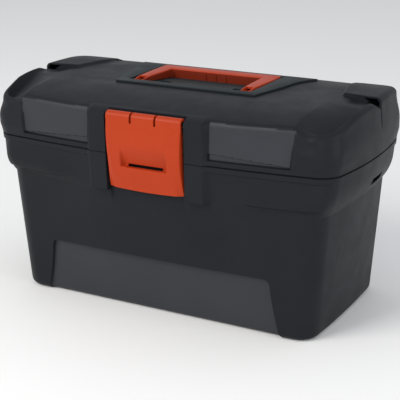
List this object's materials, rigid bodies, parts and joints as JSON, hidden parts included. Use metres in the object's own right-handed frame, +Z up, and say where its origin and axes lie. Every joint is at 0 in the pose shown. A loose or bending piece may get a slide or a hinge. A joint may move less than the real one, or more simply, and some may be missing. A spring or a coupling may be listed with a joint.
{
  "type": "toolbox",
  "caption": "Moulded toolbox with a hinged lid, front latch, fold-down carry handle and a lift-out tray with pockets.",
  "frame": {"origin": "centre of the base, on the plane that the box stands on", "axes": "+X along the length to the right-hand end seen from the front, -Y to the front where the latch is, +Z up"},
  "size_m": [0.42, 0.2263, 0.2362],
  "materials": {
    "charcoal_plastic": "fine moulded texture, satin",
    "deck_plastic": "fine moulded texture, satin",
    "orange_plastic": "smooth moulded, semi-gloss",
    "tray_plastic": "fine moulded texture, satin",
    "steel_pin": "bright zinc plated"
  },
  "bodies": {
    "body": {"body_shell": "charcoal_plastic", "hinge_pin_left": "steel_pin", "hinge_pin_right": "steel_pin"},
    "lid": {"lid_shell": "charcoal_plastic", "handle_deck": "deck_plastic", "handle_pin_left": "steel_pin", "handle_pin_right": "steel_pin", "latch_pin": "steel_pin"},
    "handle": {"carry_handle": "orange_plastic"},
    "latch": {"front_latch": "orange_plastic"},
    "tray": {"lift_out_tray": "tray_plastic", "tray_grip": "tray_plastic"}
  },
  "joints": [
    {"name": "lid_hinge", "type": "hinge", "parent": "body", "child": "lid", "pos_m": [0, 0.11, 0.177], "axis": [-1, 0, 0], "range_deg": [0, 100]},
    {"name": "handle_hinge", "type": "hinge", "parent": "lid", "child": "handle", "pos_m": [0, -0.005, 0.2295], "axis": [1, 0, 0], "range_deg": [0, 90]},
    {"name": "latch_hinge", "type": "hinge", "parent": "lid", "child": "latch", "pos_m": [0, -0.1035, 0.2185], "axis": [-1, 0, 0], "range_deg": [0, 110]},
    {"name": "tray_lift", "type": "slide", "parent": "body", "child": "tray", "axis": [0, 0, 1], "range_m": [0, 0.022]}
  ]
}
